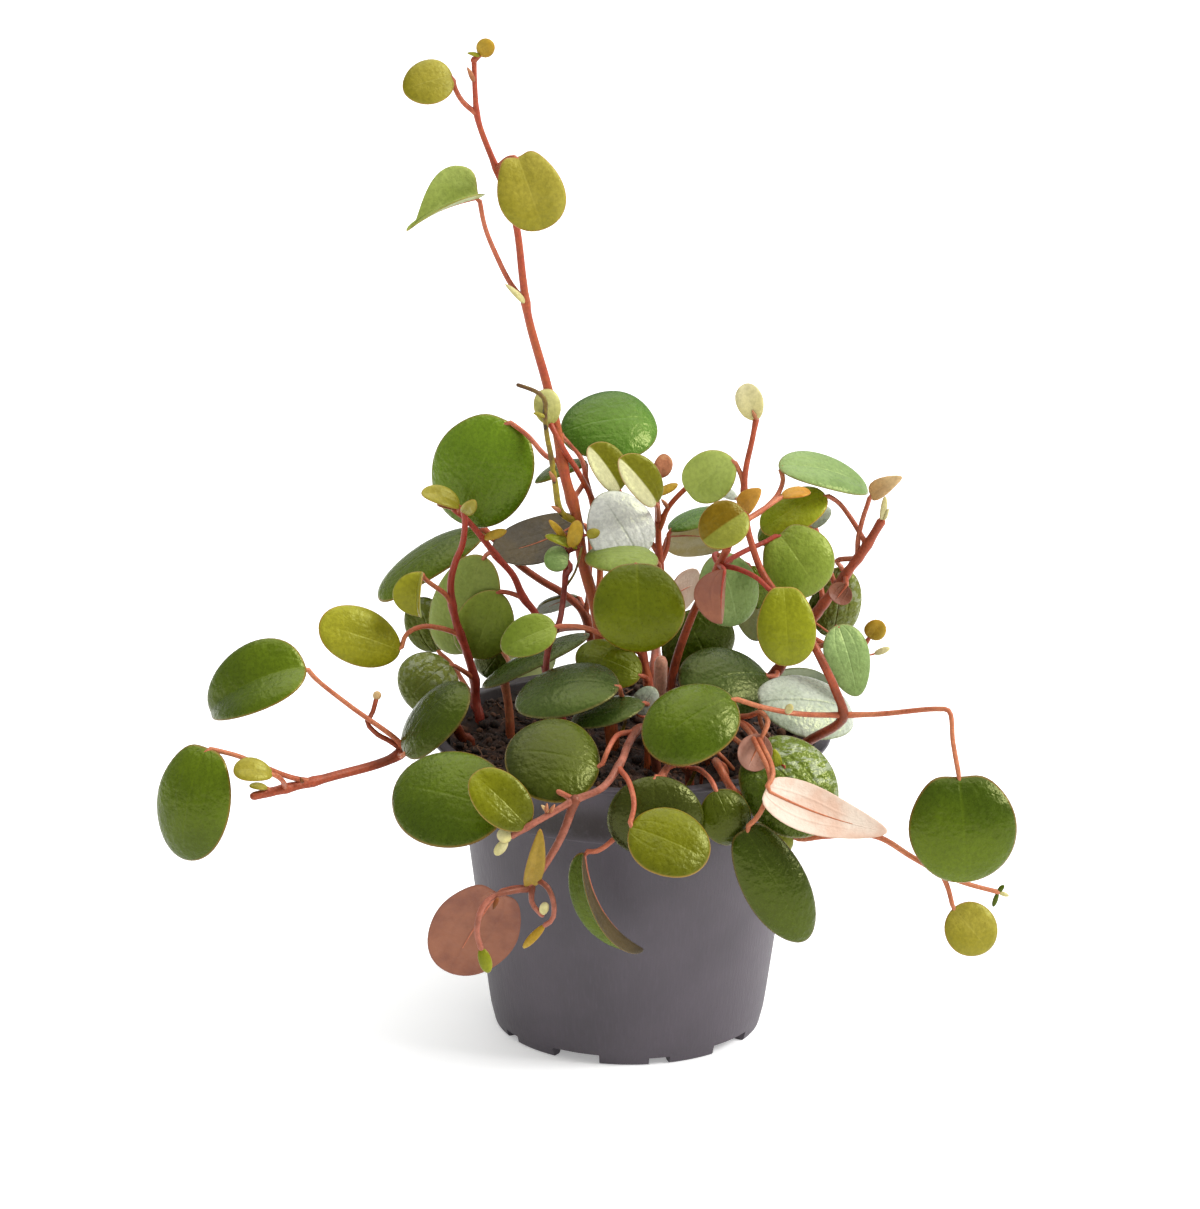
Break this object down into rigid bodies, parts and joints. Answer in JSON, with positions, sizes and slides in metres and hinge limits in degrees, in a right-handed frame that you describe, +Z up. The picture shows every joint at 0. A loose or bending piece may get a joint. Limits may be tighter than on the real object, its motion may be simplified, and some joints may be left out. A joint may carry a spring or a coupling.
{
  "type": "potted peperomia",
  "caption": "Bushy peperomia with round glossy leaves on thin reddish stems, trailing over a small round tapered nursery pot filled with soil.",
  "frame": {"origin": "middle of the pot's underside, on the surface it stands on", "axes": "+Z up along the pot's axis; the picture looks along +Y from a little above, with +X to its right"},
  "size_m": [0.1444, 0.1115, 0.174],
  "materials": {
    "pot": "matte grey thermoformed polypropylene with a faint violet cast",
    "soil": "dark crumbly potting mix with coco fibres",
    "foliage": "glossy fleshy leaves, dark green to yellow-green and gold, on orange-red stems",
    "stub": "dry pinkish-grey cut stem"
  },
  "bodies": {
    "root": {"pot": "pot", "soil": "soil", "tall_stem": "foliage", "left_arm": "foliage", "left_bow": "foliage", "left_inner": "foliage", "back_left": "foliage", "dark_sprig": "foliage", "low_left": "foliage", "mid_back": "foliage", "centre": "foliage", "hub": "foliage", "front_left": "foliage", "right_arch": "foliage", "right_back": "foliage", "low_right": "foliage", "right_front": "foliage", "front_low": "foliage", "cut_stub": "stub", "back_a": "foliage", "back_b": "foliage", "back_c": "foliage"}
  },
  "joints": []
}
